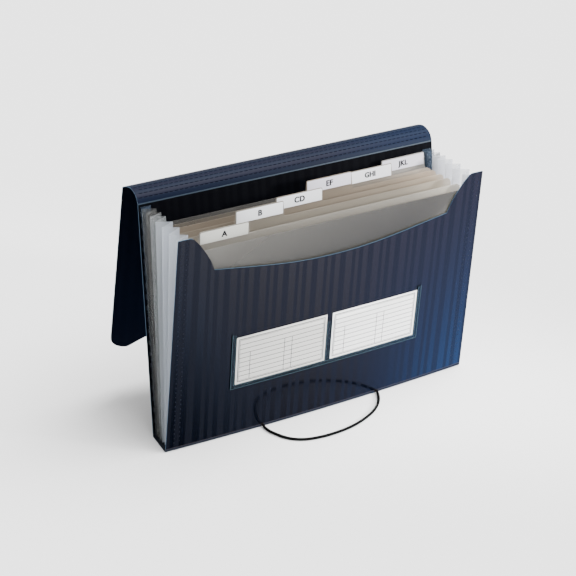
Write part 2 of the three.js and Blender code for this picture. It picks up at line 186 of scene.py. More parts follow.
def rgb(r, g, b):
    """sRGB 0-255 to linear."""
    f = lambda c: (c / 255 / 12.92) if c <= 10.31 else ((c / 255 + 0.055) / 1.055) ** 2.4
    return (f(r), f(g), f(b), 1.0)


def plain(name, color, rough, spec=0.5, metal=0.0, bump=None):
    m, n, l, p = new_material(name)
    p.inputs["Base Color"].default_value = color
    p.inputs["Roughness"].default_value = rough
    p.inputs["Specular IOR Level"].default_value = spec
    p.inputs["Metallic"].default_value = metal
    if bump:
        add_bump(n, l, p, *bump)
    return m


def add_bump(n, l, p, scale, strength, distance):
    tc = n.new("ShaderNodeTexCoord")
    nz = n.new("ShaderNodeTexNoise")
    nz.inputs["Scale"].default_value = scale
    nz.inputs["Detail"].default_value = 3.0
    b = n.new("ShaderNodeBump")
    b.inputs["Strength"].default_value = strength
    b.inputs["Distance"].default_value = distance
    l.new(tc.outputs["Object"], nz.inputs["Vector"])
    l.new(nz.outputs["Fac"], b.inputs["Height"])
    l.new(b.outputs["Normal"], p.inputs["Normal"])


STRIPE_PERIOD, STRIPE_START = 30.8, -17.5
STRIPES = [(0.0, 7.0), (10.7, 14.5), (19.1, 24.5)]  # glossy bands in each period, millimetres


def striped(name, glossy, matt, rough_glossy, rough_matt, spec, soft=0.35, bump=None):
    """Sheet with glossy and matt bands that run down it."""
    m, n, l, p = new_material(name)
    at = n.new("ShaderNodeAttribute"); at.attribute_name = "sheet"
    sx = n.new("ShaderNodeSeparateXYZ")
    l.new(at.outputs["Vector"], sx.inputs[0])
    sub = n.new("ShaderNodeMath"); sub.operation = "SUBTRACT"; sub.inputs[1].default_value = STRIPE_START / 1000
    mod = n.new("ShaderNodeMath"); mod.operation = "FLOORED_MODULO"; mod.inputs[1].default_value = STRIPE_PERIOD / 1000
    div = n.new("ShaderNodeMath"); div.operation = "DIVIDE"; div.inputs[1].default_value = STRIPE_PERIOD / 1000
    l.new(sx.outputs["X"], sub.inputs[0]); l.new(sub.outputs[0], mod.inputs[0]); l.new(mod.outputs[0], div.inputs[0])
    ramp = n.new("ShaderNodeValToRGB")
    ramp.color_ramp.interpolation = "LINEAR"
    stops = []
    for lo, hi in STRIPES:
        stops += [(lo - soft, 1.0), (lo + soft, 0.0), (hi - soft, 0.0), (hi + soft, 1.0)]
    stops = [(max(0.0, s / STRIPE_PERIOD), v) for s, v in stops]
    stops[0] = (0.0, 0.5)
    stops.append((1 - soft / STRIPE_PERIOD, 1.0)); stops.append((1.0, 0.5))
    e = ramp.color_ramp.elements
    while len(e) > 1:
        e.remove(e[-1])
    e[0].position = stops[0][0]; e[0].color = (stops[0][1],) * 3 + (1,)
    for s, v in stops[1:]:
        k = e.new(s); k.color = (v, v, v, 1)
    l.new(div.outputs[0], ramp.inputs["Fac"])
    mix = n.new("ShaderNodeMix"); mix.data_type = "RGBA"
    mix.inputs[6].default_value = glossy; mix.inputs[7].default_value = matt
    l.new(ramp.outputs["Color"], mix.inputs[0])
    l.new(mix.outputs[2], p.inputs["Base Color"])
    mr = n.new("ShaderNodeMapRange")
    mr.inputs["To Min"].default_value = rough_glossy; mr.inputs["To Max"].default_value = rough_matt
    l.new(ramp.outputs["Color"], mr.inputs["Value"])
    l.new(mr.outputs[0], p.inputs["Roughness"])
    if isinstance(spec, tuple):
        ms = n.new("ShaderNodeMapRange")
        ms.inputs["To Min"].default_value = spec[0]; ms.inputs["To Max"].default_value = spec[1]
        l.new(ramp.outputs["Color"], ms.inputs["Value"])
        l.new(ms.outputs[0], p.inputs["Specular IOR Level"])
    else:
        p.inputs["Specular IOR Level"].default_value = spec
    if bump:
        add_bump(n, l, p, *bump)
    return m


def frosted(name, color, rough, through, clear, tint=None, light_shade_grade=None, tilt=0.0):
    """Translucent frosted film: light spreads through it, and a little goes straight through.

    light_shade_grade lists (x, factor) pairs, x in millimetres across the sheet, where the film's colour is darker or
    paler as painted shade and painted light, and tilt moves them sideways with height."""
    m, n, l, p = new_material(name)
    p.inputs["Base Color"].default_value = color
    p.inputs["Roughness"].default_value = rough
    p.inputs["Specular IOR Level"].default_value = 0.5
    tr = n.new("ShaderNodeBsdfTranslucent"); tr.inputs["Color"].default_value = tint or color
    tp = n.new("ShaderNodeBsdfTransparent"); tp.inputs["Color"].default_value = (1, 1, 1, 1)
    m1 = n.new("ShaderNodeMixShader"); m1.inputs[0].default_value = through
    m2 = n.new("ShaderNodeMixShader"); m2.inputs[0].default_value = clear
    out = n["Material Output"]
    if light_shade_grade:
        tc_ = n.new("ShaderNodeTexCoord"); sx = n.new("ShaderNodeSeparateXYZ"); mr = n.new("ShaderNodeMapRange")
        mr.inputs["From Min"].default_value = -0.17; mr.inputs["From Max"].default_value = 0.17
        l.new(tc_.outputs["Object"], sx.inputs[0]); up_ = n.new("ShaderNodeMath"); up_.operation = "MULTIPLY_ADD"
        up_.inputs[1].default_value = -tilt
        shift = n.new("ShaderNodeMath"); shift.operation = "ADD"; shift.inputs[1].default_value = tilt * 0.19
        l.new(sx.outputs["X"], shift.inputs[0]); l.new(sx.outputs["Z"], up_.inputs[0]); l.new(shift.outputs[0], up_.inputs[2])
        l.new(up_.outputs[0], mr.inputs["Value"])
        for base, target in ((color, p.inputs["Base Color"]), (tint or color, tr.inputs["Color"])):
            ramp = n.new("ShaderNodeValToRGB")
            ramp.color_ramp.interpolation = "LINEAR"
            e = ramp.color_ramp.elements
            while len(e) > 1:
                e.remove(e[-1])
            for k, (x, f) in enumerate(light_shade_grade):
                stop = e[0] if k == 0 else e.new((x + 170) / 340)
                stop.position = (x + 170) / 340
                stop.color = tuple(min(1.0, c * f) for c in base[:3]) + (1,)
            l.new(mr.outputs[0], ramp.inputs["Fac"]); l.new(ramp.outputs["Color"], target)
    l.new(p.outputs[0], m1.inputs[1]); l.new(tr.outputs[0], m1.inputs[2])
    l.new(m1.outputs[0], m2.inputs[1]); l.new(tp.outputs[0], m2.inputs[2])
    l.new(m2.outputs[0], out.inputs["Surface"])
    return m


navy = striped("cover_navy", (0.0008, 0.0014, 0.0036, 1), (0.0013, 0.0017, 0.0037, 1), 0.11, 0.25, (0.52, 0.34))
# the inner face's near-black colour is painted shade; the same face on the arched strip is far lighter
navy_inner_painted_shade = striped("cover_inner_painted_shade", (0.0012, 0.0014, 0.0026, 1), (0.0017, 0.0020, 0.0034, 1), 0.40, 0.46, 0.06)


def banded(name, one, two, edges, rough, spec):
    """Sheet with bands across it, between the scored lines."""
    m, n, l, p = new_material(name)
    at = n.new("ShaderNodeAttribute"); at.attribute_name = "sheet"
    sx = n.new("ShaderNodeSeparateXYZ")
    mr = n.new("ShaderNodeMapRange")
    mr.inputs["From Min"].default_value = 0.227; mr.inputs["From Max"].default_value = 0.227 + 0.036
    ramp = n.new("ShaderNodeValToRGB")
    e = ramp.color_ramp.elements
    while len(e) > 1:
        e.remove(e[-1])
    e[0].position = 0.0; e[0].color = one
    color, other = one, two
    for s in edges:
        a = e.new(max(0.0, (s - 0.5) / 36)); a.color = color
        a = e.new(min(1.0, (s + 0.5) / 36)); a.color = other
        color, other = other, color
    l.new(at.outputs["Vector"], sx.inputs[0]); l.new(sx.outputs["Y"], mr.inputs["Value"])
    l.new(mr.outputs[0], ramp.inputs["Fac"])
    # the sheet turns bluer towards its right end
    along = n.new("ShaderNodeMapRange"); along.interpolation_type = "SMOOTHSTEP"
    along.inputs["From Min"].default_value = 0.02; along.inputs["From Max"].default_value = 0.15
    mix = n.new("ShaderNodeMix"); mix.data_type = "RGBA"
    mix.inputs[7].default_value = (0.0022, 0.0092, 0.0300, 1)
    fade = n.new("ShaderNodeMath"); fade.operation = "MULTIPLY"; fade.inputs[1].default_value = 0.72
    l.new(sx.outputs["X"], along.inputs["Value"]); l.new(along.outputs[0], fade.inputs[0])
    l.new(fade.outputs[0], mix.inputs[0]); l.new(ramp.outputs["Color"], mix.inputs[6])
    l.new(mix.outputs[2], p.inputs["Base Color"])
    p.inputs["Roughness"].default_value = rough
    p.inputs["Specular IOR Level"].default_value = spec
    return m


SCORES = [4.6, 8.8, 13.0, 17.2, 21.4, 25.6, 29.8]  # scored lines across the arch, millimetres along it
navy_strip = banded("cover_strip", (0.0041, 0.0073, 0.0188, 1), (0.0064, 0.0077, 0.0182, 1), SCORES, 0.40, 0.05)
# the flap's near-black colour is painted shade
navy_flap_painted_shade = striped("cover_flap_painted_shade", (0.0012, 0.0018, 0.0045, 1), (0.0015, 0.0021, 0.0050, 1), 0.40, 0.46, 0.08)
# the light blue on the sheets' cut edges is a painted highlight
cut_edge_painted_highlight = plain("cover_cut_edge", (0.055, 0.110, 0.170, 1), 0.35)
# the light colour along the top crease is a painted highlight
crease = plain("cover_crease", (0.020, 0.034, 0.052, 1), 0.45, 0.3)
# the brownish colour along the front foot is a painted reflection of the floor
crease_low_painted_reflection = plain("cover_crease_low", (0.030, 0.022, 0.018, 1), 0.4, 0.3)
base_navy = plain("cover_base", (0.0030, 0.0045, 0.0080, 1), 0.35, 0.4)
score = plain("score_line", (0.0006, 0.0016, 0.0046, 1), 0.6, 0.0)
weld = plain("weld_mark", (0.0030, 0.0040, 0.0070, 1), 0.3)
weld_soft = plain("weld_mark_soft", (0.0016, 0.0026, 0.0056, 1), 0.32, 0.4)
paper = plain("label_paper", (0.88, 0.88, 0.87, 1), 0.65, 0.3, bump=(900, 0.05, 0.0001))
# the left card's darker paper is painted shade
paper_dim = plain("label_paper_left_painted_shade", (0.60, 0.595, 0.57, 1), 0.65, 0.3, bump=(900, 0.05, 0.0001))
tab_paper = plain("tab_paper", (0.86, 0.87, 0.90, 1), 0.6, 0.3)
# the lilac-grey and the darker tab papers are painted shade
tab_paper_painted_shade = plain("tab_paper_painted_shade", (0.72, 0.70, 0.78, 1), 0.6, 0.3)
tab_paper_a_painted_shade = plain("tab_paper_first_painted_shade", (0.54, 0.54, 0.50, 1), 0.6, 0.3)
ink = plain("ink", (0.010, 0.010, 0.012, 1), 0.6, 0.2)
rule_ink = plain("rule_ink", (0.008, 0.008, 0.010, 1), 0.6, 0.2)
gusset = frosted("gusset_film", (0.34, 0.37, 0.41, 1), 0.30, 0.60, 0.62, (0.80, 0.84, 0.90, 1))
# darker, half-dark and paler copies of the gusset film: painted shade and painted light
gusset_painted_shade = frosted("gusset_film_painted_shade", (0.10, 0.105, 0.105, 1), 0.30, 0.60, 0.60, (0.28, 0.28, 0.27, 1))
gusset_half_painted_shade = frosted("gusset_film_half_painted_shade", (0.22, 0.235, 0.245, 1), 0.30, 0.60, 0.60, (0.52, 0.54, 0.55, 1))
gusset_painted_light = frosted("gusset_film_painted_light", (0.62, 0.64, 0.70, 1), 0.30, 0.60, 0.55, (0.97, 0.98, 1.0, 1))
flange_film = frosted("gusset_flange_film", (0.10, 0.14, 0.20, 1), 0.30, 0.40, 0.78, (0.10, 0.14, 0.20, 1))
# the liner's grade is painted light and shade across it
liner = frosted("liner_film", (0.17, 0.165, 0.150, 1), 0.28, 0.35, 0.36, (0.21, 0.20, 0.18, 1), [(-170, 1.33), (-110, 0.97), (-40, 0.75), (20, 0.57), (90, 0.42), (118, 0.48), (146, 1.06), (168, 1.38)], 1.8)
DIVIDER_LIGHT_SHADE_GRADES = {  # the two rear sheets: painted shade darkens them towards the left, painted light brightens them towards the right
    "jkl": [(-165, 0.30), (-60, 0.40), (20, 0.62), (90, 1.15), (165, 1.7)],
    "ghi": [(-165, 0.55), (-60, 0.72), (20, 0.90), (90, 1.1), (122, 1.5), (146, 2.3), (165, 2.5)],
}
DIVIDER_COLORS = {"a": (0.36, 0.34, 0.30), "b": (0.33, 0.30, 0.25), "cd": (0.31, 0.265, 0.21), "ef": (0.30, 0.25, 0.195), "ghi": (0.31, 0.275, 0.23), "jkl": (0.36, 0.345, 0.325)}
film, fn, fl, fp = new_material("pocket_film")
fp.inputs["Base Color"].default_value = (0.010, 0.018, 0.020, 1)
fp.inputs["Roughness"].default_value = 0.12
fp.inputs["Alpha"].default_value = 0.05
rim_film = plain("pocket_rim", (0.0045, 0.0085, 0.0115, 1), 0.22, 0.5)
rim_line = plain("pocket_weld_line", (0.020, 0.044, 0.052, 1), 0.4, 0.3)
metal = plain("barb_metal", (0.62, 0.62, 0.64, 1), 0.3, 0.5, 1.0)

elastic, en, el_, ep = new_material("elastic_weave")
ep.inputs["Base Color"].default_value = (0.0020, 0.0020, 0.0022, 1)
ep.inputs["Roughness"].default_value = 0.75
ep.inputs["Specular IOR Level"].default_value = 0.08
tc = en.new("ShaderNodeTexCoord")
wv = en.new("ShaderNodeTexWave")
wv.inputs["Scale"].default_value = 700.0
wv.inputs["Distortion"].default_value = 1.0
bp = en.new("ShaderNodeBump")
bp.inputs["Strength"].default_value = 0.4
bp.inputs["Distance"].default_value = 0.0002
el_.new(tc.outputs["Object"], wv.inputs["Vector"])
el_.new(wv.outputs["Fac"], bp.inputs["Height"])
el_.new(bp.outputs["Normal"], ep.inputs["Normal"])


def finish_node(name, material):
    nodes[name].data.materials.clear()
    nodes[name].data.materials.append(material)


# ---- front panel ------------------------------------------------------------
SCOOP_A = [(0, 171.0), (20, 171.4), (40, 172.7), (60, 174.9), (80, 177.7), (100, 180.9), (120, 184.0), (126.8, 185.2)]
SCOOP_B = [(126.8, 185.2), (127.7, 188.0), (130.0, 193.8), (133.3, 200.2), (137.3, 206.6), (141.8, 213.0), (146.4, 218.4), (149.0, 220.9), (151.8, 222.0)]
half_outline = [tuple(p) for p in spline(SCOOP_A, 5)][:-1] + [tuple(p) for p in spline(SCOOP_B, 4)] + [(155, 222.0), (158, 222.0), (161, 222.0), (163.3, 222.0), (163.85, 221.8), (164.0, 221.3)]
outline = [(-u, v) for u, v in reversed(half_outline) if u > 0] + half_outline
panel_v = PANEL_Z / math.cos(rad(FRONT_LEAN))
ROWS = 12


def spread(u, v):
    """The panel is a little wider at its foot than at its shoulders."""
    edge = max(0.0, (abs(u) - 126.8) / (HALF_FRONT_TOP - 126.8))
    return u + math.copysign(edge, u) * (HALF_FRONT - HALF_FRONT_TOP) * (1 - v / FRONT_H)


flat = [[(u, panel_v + (top - panel_v) * r / ROWS) for r in range(ROWS + 1)] for u, top in outline]
front = slab(
    "front_cover",
    [[front_at(spread(u, v), v, 0) for u, v in col] for col in flat],
    [[front_at(spread(u, v), v, -SHEET) for u, v in col] for col in flat],
    flat, [navy, navy_inner_painted_shade, cut_edge_painted_highlight], (0, 1), 2, (1, 1, 1, 1))
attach(front, "front"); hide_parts("front_panel")

# ---- back panel ---------------------------------------------------------------
back_v = PANEL_Z / math.cos(rad(BACK_LEAN))


def back_half(v):
    return HALF_W - (HALF_W - HALF_TOP) * v / BACK_H


flat = [[(s / 16 * back_half(v), v) for v in [back_v + (BACK_H - CREASE_GAP - back_v) * r / 6 for r in range(7)]] for s in range(-16, 17)]
back = slab(
    "back_cover",
    [[back_at(u, v, 0) for u, v in col] for col in flat],
    [[back_at(u, v, -SHEET) for u, v in col] for col in flat],
    flat, [navy, navy_inner_painted_shade, cut_edge_painted_highlight], (0, 1), 2)
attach(back, "back"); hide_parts("back_panel")

# ---- base strip and its two creases ------------------------------------------
finish_node("base_strip", base_navy)
us = [HALF_FRONT * (i / 30 - 1) for i in range(61)]


def front_crease(off):
    rows = []
    for u in us:
        lo = (u, -BASE_DEPTH / 2 - bow(u, 0) - off, LIP_H)
        hi = front_at(u * 168.42 / HALF_FRONT, panel_v, off)
        rows.append([tuple(lo[k] + (hi[k] - lo[k]) * t for k in range(3)) for t in (0, 0.5, 1)])
    return rows


flat = [[(u, 3.0), (u, 3.3), (u, 3.7)] for u in us]
# the front crease gets the painted floor reflection
c = slab("front_crease", front_crease(0.0), front_crease(-SHEET), flat, [crease_low_painted_reflection], rims=(1, 1, 0, 0))
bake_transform(c)


def back_crease(off):
    rows = []
    for u in us:
        s = u / HALF_FRONT
        lo = (s * HALF_W, BASE_DEPTH / 2 + off, LIP_H)
        hi = back_at(s * back_half(back_v), back_v, off)
        rows.append([tuple(lo[k] + (hi[k] - lo[k]) * t for k in range(3)) for t in (0, 0.5, 1)])
    return rows


c = slab("back_crease", back_crease(0.0), back_crease(-SHEET), flat, [base_navy], rims=(1, 1, 0, 0))
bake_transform(c)

# ---- arched top strip ---------------------------------------------------------
l = rad(BACK_LEAN)
C1 = back_at(0, BACK_H, -SHEET / 2)
ARCH = [(0, 0), (1.0, 2.6), (2.8, 5.8), (5.8, 8.4), (9.8, 10.1), (14.2, 10.9), (18.6, 10.4), (23.0, 9.1), (26.8, 7.5), (30.0, 6.1)]
C2 = (0, C1[1] + ARCH[-1][0], C1[2] + ARCH[-1][1])
raw = [p.copy() for p in spline(ARCH, 24)]
start = Vector(ARCH[0]) + (Vector(ARCH[1]) - Vector(ARCH[0])).normalized() * CREASE_GAP
end = Vector(ARCH[-1]) + (Vector(ARCH[-2]) - Vector(ARCH[-1])).normalized() * CREASE_GAP
path = [start] + [p for p in raw if (p - Vector(ARCH[0])).length > CREASE_GAP + 0.15 and (p - Vector(ARCH[-1])).length > CREASE_GAP + 0.15] + [end]
run = [0.0]
for p, q in zip(path, path[1:]):
    run.append(run[-1] + (q - p).length)


def groove(s):
    return sum(max(0.0, 1 - abs(s - k) / 0.55) for k in SCORES)


def arch_side(sign, xs):
    pts = []
    for i, p in enumerate(path):
        a, b = path[max(0, i - 1)], path[min(len(path) - 1, i + 1)]
        d = (b - a).normalized()
        nrm = Vector((-d.y, d.x))
        q = p + nrm * (sign * SHEET / 2 * (1 - 0.45 * groove(run[i])))
        pts.append((C1[1] + q.x, C1[2] + q.y))
    return [[(x, y, z) for y, z in pts] for x in xs]


xs = [-HALF_TOP + 2 * HALF_TOP * i / 36 for i in range(37)]
flat = [[(x, 227 + s) for s in run] for x in xs]
strip = slab("arched_strip", arch_side(1, xs), arch_side(-1, xs), flat, [navy_strip, navy, cut_edge_painted_highlight], (0, 1), 2, sharp=50)
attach(strip, "strip"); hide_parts("top_strip")


def on_arch(x, s, off):
    i = max(k for k in range(len(run)) if run[k] <= s + 1e-9)
    i = min(i, len(run) - 2)
    t = (s - run[i]) / (run[i + 1] - run[i])
    p = path[i].lerp(path[i + 1], t)
    d = (path[i + 1] - path[i]).normalized()
    q = p + Vector((-d.y, d.x)) * off
    return (x, C1[1] + q.x, C1[2] + q.y)


items = []
for k, s in enumerate(SCORES):
    x = -159.5 + (k % 3) * 1.7
    while x < 157.5:
        items.append((on_arch, x, x + 3.4, s - 0.36, s + 0.36, SHEET / 2 * 0.50, SHEET / 2 * 0.80))
        x += 5.2
scores = boxes("score_dashes", items, [score])
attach(scores, "strip")

# ---- flap ---------------------------------------------------------------------
FLAP_END = [(0, 163.4), (20, 163.9), (40, 165.4), (60, 167.8), (80, 171.3), (100, 175.7), (115, 179.7), (125, 182.6), (135, 185.9), (140, 187.7), (143.5, 188.4), (147.5, 187.6), (151, 186.2), (154.5, 184.2), (157.5, 181.8), (159.6, 179.2), (161, 176.2), (HALF_TOP, 172.6)]
half = [tuple(p) for p in spline(FLAP_END, 4)]
ends = [(-x, s) for x, s in reversed(half) if x > 0] + half
fl_t = rad(FLAP_TILT)


def flap_at(x, s, off):
    return (x, C2[1] + s * math.sin(fl_t) + off * math.cos(fl_t), C2[2] - s * math.cos(fl_t) + off * math.sin(fl_t))


flat = [[(x, CREASE_GAP + (top - CREASE_GAP) * r / 6) for r in range(7)] for x, top in ends]
flat_uv = [[(x, 262 + s) for x, s in col] for col in flat]
flap = slab(
    "hanging_flap",
    [[flap_at(x, s, SHEET / 2) for x, s in col] for col in flat],
    [[flap_at(x, s, -SHEET / 2) for x, s in col] for col in flat],
    flat_uv, [navy, navy_flap_painted_shade, cut_edge_painted_highlight], (0, 1), 2)
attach(flap, "flap"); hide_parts("flap")


# creases 1 and 2: short bends that join the neighbours
def crease_piece(name, lows, highs, mats):
    grid = lambda lo, hi: [[tuple(a[k] + (b[k] - a[k]) * t for k in range(3)) for t in (0, 0.5, 1)] for a, b in zip(lo, hi)]
    return slab(name, grid(lows[0], highs[0]), grid(lows[1], highs[1]), [[(a[0], 0), (a[0], 0.5), (a[0], 1)] for a in lows[0]], mats, rims=(1, 1, 0, 0))


a_out = [back_at(s / 18 * back_half(BACK_H - CREASE_GAP), BACK_H - CREASE_GAP, 0) for s in range(-18, 19)]
a_in = [back_at(s / 18 * back_half(BACK_H - CREASE_GAP), BACK_H - CREASE_GAP, -SHEET) for s in range(-18, 19)]
o_side, i_side = arch_side(-1, [0])[0][0], arch_side(1, [0])[0][0]
b_out = [(s / 18 * HALF_TOP, o_side[1], o_side[2]) for s in range(-18, 19)]
b_in = [(s / 18 * HALF_TOP, i_side[1], i_side[2]) for s in range(-18, 19)]
# the strip's side towards the front is its inner face
if o_side[1] < i_side[1]:
    b_out, b_in = b_in, b_out
# the top crease gets the painted highlight
c = crease_piece("top_crease", (a_out, a_in), (b_out, b_in), [crease])
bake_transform(c)
last_a, last_b = arch_side(1, [0])[0][-1], arch_side(-1, [0])[0][-1]
p_a = [(s / 18 * HALF_TOP, last_a[1], last_a[2]) for s in range(-18, 19)]
p_b = [(s / 18 * HALF_TOP, last_b[1], last_b[2]) for s in range(-18, 19)]
q_a = [flap_at(s / 18 * HALF_TOP, CREASE_GAP, SHEET / 2) for s in range(-18, 19)]
q_b = [flap_at(s / 18 * HALF_TOP, CREASE_GAP, -SHEET / 2) for s in range(-18, 19)]
c = crease_piece("flap_crease", (p_a, p_b), (q_a, q_b), [navy_strip])
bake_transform(c)

# ---- liner, dividers, tab labels ------------------------------------------------
finish_node("front_liner", liner)
for key, lean, tab, y0 in DIVIDERS:
    col = DIVIDER_COLORS[key] + (1,)
    # the other sheets' default grade is painted light towards the right end
    finish_node("divider_" + key, frosted("divider_film_" + key, col, 0.30, 0.30, 0.38, tuple(min(1, c * 1.15) for c in col[:3]) + (1,), DIVIDER_LIGHT_SHADE_GRADES.get(key, [(-165, 0.95), (40, 1.0), (90, 1.1), (122, 1.5), (146, 2.3), (165, 2.5)])))
    # tabs A, EF and JKL get the tab papers with painted shade
    finish_node("tab_label_" + key, tab_paper_a_painted_shade if key == "a" else tab_paper_painted_shade if key in ("ef", "jkl") else tab_paper)
    at = plane_at(y0, lean)
    cu = bpy.data.curves.new("index_" + key, "FONT")
    cu.body = key.upper()
    cu.size = 0.0076 if len(key) < 3 else 0.0070
    cu.align_x, cu.align_y = "CENTER", "CENTER"
    cu.extrude = 0.00003
    cu.offset = 0.00022
    cu.space_character = 1.06
    tmp = bpy.data.objects.new("index_tmp_" + key, cu)
    scene.collection.objects.link(tmp)
    bpy.context.view_layer.update()
    me = bpy.data.meshes.new_from_object(tmp.evaluated_get(bpy.context.evaluated_depsgraph_get()))
    bpy.data.objects.remove(tmp); bpy.data.curves.remove(cu)
    # a second outline, shifted a hair to the right, makes the strokes bolder
    thin = [v.co.copy() for v in me.vertices]
    faces = [tuple(f.vertices) for f in me.polygons]
    bold = bpy.data.meshes.new("index_letters_" + key)
    bold.from_pydata([(v.x - 0.00016, v.y, v.z) for v in thin] + [(v.x + 0.00016, v.y, v.z + 0.00001) for v in thin], [], faces + [tuple(i + len(thin) for i in f) for f in faces])
    bpy.data.meshes.remove(me)
    me = bold
    ob = bpy.data.objects.new("index_letters_" + key, me)
    scene.collection.objects.link(ob)
    me.materials.clear(); me.materials.append(ink)
    ll = rad(lean)
    o = Vector(at(tab + TAB_W / 2, DIVIDER_H + TAB_RISE[key] + 4.9, DIVIDER_T / 2 + 0.3 + LABEL_T + 0.035)) / 1000
    mtx = Matrix(((1, 0, 0, o.x), (0, math.sin(ll), -math.cos(ll), o.y), (0, math.cos(ll), math.sin(ll), o.z), (0, 0, 0, 1)))
    me.transform(mtx)
    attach(ob, "divider_" + key)

# ---- gussets: each leaf of the folded film is a piece of its own ---------------
yb = BASE_DEPTH / 2 - SHEET - 0.3 - 0.2 - 0.05
yf = -yb
PLANES = [(yb, BACK_LEAN)] + [(y0, lean) for _, lean, _, y0 in reversed(DIVIDERS)] + [(yf, FRONT_LEAN)]
SHARES = [p[1] / BACK_LEAN for p in PLANES[:4]] + [0.0] + [p[1] / FRONT_LEAN for p in PLANES[5:]]
SHARES[4] = 0.0  # the middle sheet's share is zero
Z0 = 1.4


def line_y(k, h):
    y0, lean = PLANES[k]
    length = GUSSET_H_BACK + (GUSSET_H_FRONT - GUSSET_H_BACK) * k / 7
    v = Z0 + (length - Z0) * h
    return y0 + v * math.sin(rad(lean)), v * math.cos(rad(lean))


def out_x(k, h):
    return GUSSET_OUT - ((1 - k / 7) * 3.0 * h if k < 7 else 0.0)


def corners(h):
    c = []
    y, z = line_y(0, h)
    c.append((out_x(0, h) - 1.6, y, z)); c.append((GUSSET_IN + 1, y, z))
    for k in range(7):
        (py, pz), (qy, qz) = line_y(k, h), line_y(k + 1, h)
        c.append((out_x(k + 0.5, h), (py + qy) / 2, (pz + qz) / 2))
        c.append((GUSSET_IN + 1 if k == 6 else GUSSET_IN, qy, qz))
    y, z = line_y(7, h)
    c.append((GUSSET_OUT - 1.6, y, z))
    return [Vector(p) for p in c]


def leaf(h, i):
    """Centre line of leaf i (between corners i and i+1) with half of each rounded fold."""
    c = corners(h)
    a, b = c[i], c[i + 1]
    r = 1.3
    pts = []

    def half_fold(p, other, this):
        d1, d2 = (other - p).normalized() * r, (this - p).normalized() * r
        out = []
        for t in (0.5, 0.625, 0.75, 0.875, 1.0):
            out.append((p + d1) * (1 - t) ** 2 + p * 2 * t * (1 - t) + (p + d2) * t ** 2)
        return out
    pts += half_fold(a, c[i - 1], b) if i > 0 else [a]
    for t in (0.3, 0.5, 0.7):
        pts.append(a.lerp(b, t))
    tail = half_fold(b, c[i + 2], a) if i + 2 < len(c) else [b]
    return pts + tail[::-1]


def leaf_sides(h, i):
    pts = leaf(h, i)
    A, B = [], []
    c = corners(h)
    for k, p in enumerate(pts):
        q, r_ = pts[max(0, k - 1)], pts[min(len(pts) - 1, k + 1)]
        d = Vector((r_.x - q.x, r_.y - q.y))
        if k == 0 and i > 0:
            d = Vector((c[i + 1].x - c[i - 1].x, c[i + 1].y - c[i - 1].y))
        if k == len(pts) - 1 and i + 2 < len(c):
            d = Vector((c[i + 2].x - c[i].x, c[i + 2].y - c[i].y))
        d.normalize()
        nrm = Vector((-d.y, d.x)) * (GUSSET_T / 2)
        A.append((p.x + nrm.x, p.y + nrm.y, p.z)); B.append((p.x - nrm.x, p.y - nrm.y, p.z))
    return A, B


HS = [0, 0.25, 0.5, 0.75, 0.94, 1.0]


def leaf_film(side, i):
    """The flanges lie on the covers; towards the back of the left side the leaves get darker copies of the film as
    painted shade, and on the right side most leaves a paler copy as painted light.
    """
    if i in (0, 1, 15):
        return flange_film
    if side == "right":
        return flange_film if i < 4 else gusset_half_painted_shade if i == 4 else gusset_painted_light
    return gusset_painted_shade if i < 5 else gusset_half_painted_shade if i < 8 else gusset


for sgn, side in ((-1, "left"), (1, "right")):
    flange = []
    for i in range(16):
        # the right side hangs a little lower, and the flange on the cover starts above the base's lip
        heights = [h * (0.982 if side == "right" else 1.0) for h in HS]
        if i == 0:
            heights[0] = 0.016
        rowsA, rowsB = zip(*[leaf_sides(h, i) for h in heights])
        A = [[(sgn * p[0], p[1], p[2]) for p in row] for row in rowsA]
        B = [[(sgn * p[0], p[1], p[2]) for p in row] for row in rowsB]
        flat = [[(j * 1.0, h * 222) for j in range(len(A[0]))] for h in heights]
        ob = slab("gusset_%s_leaf_%02d" % (side, i), A, B, flat, [leaf_film(side, i)], sharp=80)
        if i == 0:
            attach(ob, "back"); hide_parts("gusset_" + side)
            continue
        if i == 15:
            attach(ob, "front")
            continue
        k = (i - 1) // 2  # the leaf lies between sheets k and k + 1
        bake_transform(ob)

# ---- weld marks ---------------------------------------------------------------
items = []
for k in range(19):
    v = 14 + 11.2 * k
    half_v = back_half(v)
    for s in (-1, 1):
        x = s * (half_v - 2.4)
        items.append((back_at, x - 0.55, x + 0.55, v, v + 4.2, -SHEET - 0.01, -SHEET - 0.20))
marks = boxes("weld_marks_back", items, [weld])
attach(marks, "back")
items = []
for s in (-1, 1):
    for col in (155.0, 160.4):
        for k in range(42):
            v = 8 + 5.05 * k + (1.2 if col < 157 else 0)
            items.append((front_at, s * col - 0.45, s * col + 0.45, v, v + 1.6, 0.0, 0.06))
marks = boxes("weld_marks_front", items, [weld_soft])
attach(marks, "front")

# ---- label pocket, cards and their printed rules --------------------------------
# the left card gets the paper with painted shade
finish_node("label_card_left", paper_dim); finish_node("label_card_right", paper)
P_HALF, P_LO = 105.0, 52.8


def p_top(u):
    return 100 + 11.8 * (u / 105) ** 2


us = [-105 + 210 * i / 84 for i in range(85)]
flat = [[(u, P_LO + (p_top(u) - P_LO) * r / 4) for r in range(5)] for u in us]
pocket = slab(
    "pocket_film",
    [[front_at(u, v, 1.15) for u, v in col] for col in flat],
    [[front_at(u, v, 0.95) for u, v in col] for col in flat],
    flat, [film], rims=(1, 1, 1, 1))
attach(pocket, "front"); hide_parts("label_pocket")


